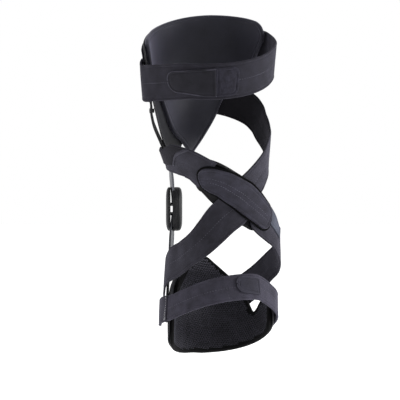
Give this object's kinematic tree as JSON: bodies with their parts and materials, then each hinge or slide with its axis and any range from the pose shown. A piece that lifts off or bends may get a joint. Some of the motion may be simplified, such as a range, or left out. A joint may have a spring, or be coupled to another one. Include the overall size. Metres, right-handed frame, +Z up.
{
  "type": "knee brace",
  "caption": "Knee brace with a thigh shell and a calf shell joined by one side hinge, two cuff straps and crossed straps behind the knee.",
  "frame": {"origin": "middle of the knee, between the hinge and the far side, where the knee bends", "axes": "+Z up along the bent leg from calf to thigh, +Y to the front of the leg, -X the hinge side"},
  "size_m": [0.1628, 0.187, 0.3932],
  "materials": {
    "foam_liner": "smooth dark foam laminate with a stitched edge",
    "mesh_liner": "black spacer mesh with bound edges",
    "shell": "satin black moulded plastic",
    "webbing": "dark grey napped loop webbing",
    "hook_tab": "dark grey loop fabric with stitched border",
    "knee_pad": "black grained synthetic leather over foam",
    "hinge_cover": "dark grey moulded nylon",
    "metal": "satin anodised aluminium"
  },
  "bodies": {
    "root": {"thigh_liner": "foam_liner", "thigh_shell": "shell", "calf_liner": "mesh_liner", "calf_shell": "shell", "upper_arm": "metal", "lower_arm": "metal", "hinge_inner_pad": "hinge_cover", "hinge_outer_cover": "hinge_cover", "hinge_pin_upper": "metal", "hinge_pin_lower": "metal", "upper_arm_rivet_1": "metal", "upper_arm_rivet_2": "metal", "lower_arm_rivet_1": "metal", "lower_arm_rivet_2": "metal", "thigh_strap": "webbing", "thigh_tab": "hook_tab", "calf_strap": "webbing", "calf_tab": "hook_tab", "cross_strap_back": "webbing", "cross_strap_front": "webbing", "cross_strap_lower": "webbing", "cross_keeper": "hook_tab", "popliteal_pad": "knee_pad", "side_tab": "hook_tab"}
  },
  "joints": []
}
